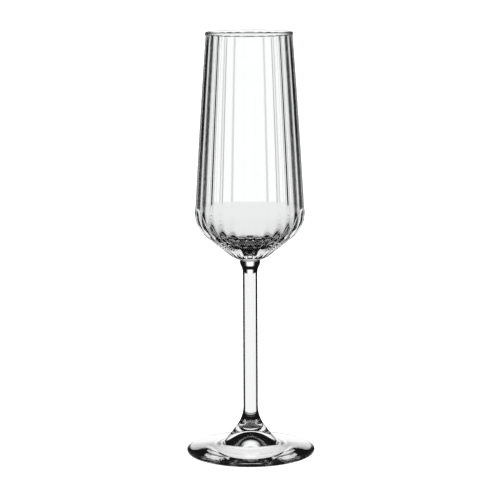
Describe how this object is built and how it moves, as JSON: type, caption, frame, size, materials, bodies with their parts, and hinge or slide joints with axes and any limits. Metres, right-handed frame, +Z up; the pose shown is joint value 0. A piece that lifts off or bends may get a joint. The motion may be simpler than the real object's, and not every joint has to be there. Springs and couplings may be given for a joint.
{
  "type": "champagne flute",
  "caption": "Tall stemmed glass for sparkling wine: a narrow ribbed bowl with a deep shoulder, fused to a plain stem and a round foot.",
  "frame": {"origin": "centre of the foot, on the surface that it stands on", "axes": "+Z up along the axis of the glass, from the foot to the lip; the narrow rib on one of the bowl's two parting lines faces -Y"},
  "size_m": [0.0686, 0.0686, 0.225],
  "materials": {
    "bowl_glass": "fire-polished clear glass, with upright ribs outside and smooth inside",
    "stem_glass": "fire-polished clear drawn glass",
    "foot_glass": "fire-polished clear spun glass"
  },
  "bodies": {
    "root": {"bowl": "bowl_glass", "stem": "stem_glass", "foot": "foot_glass"}
  },
  "joints": []
}
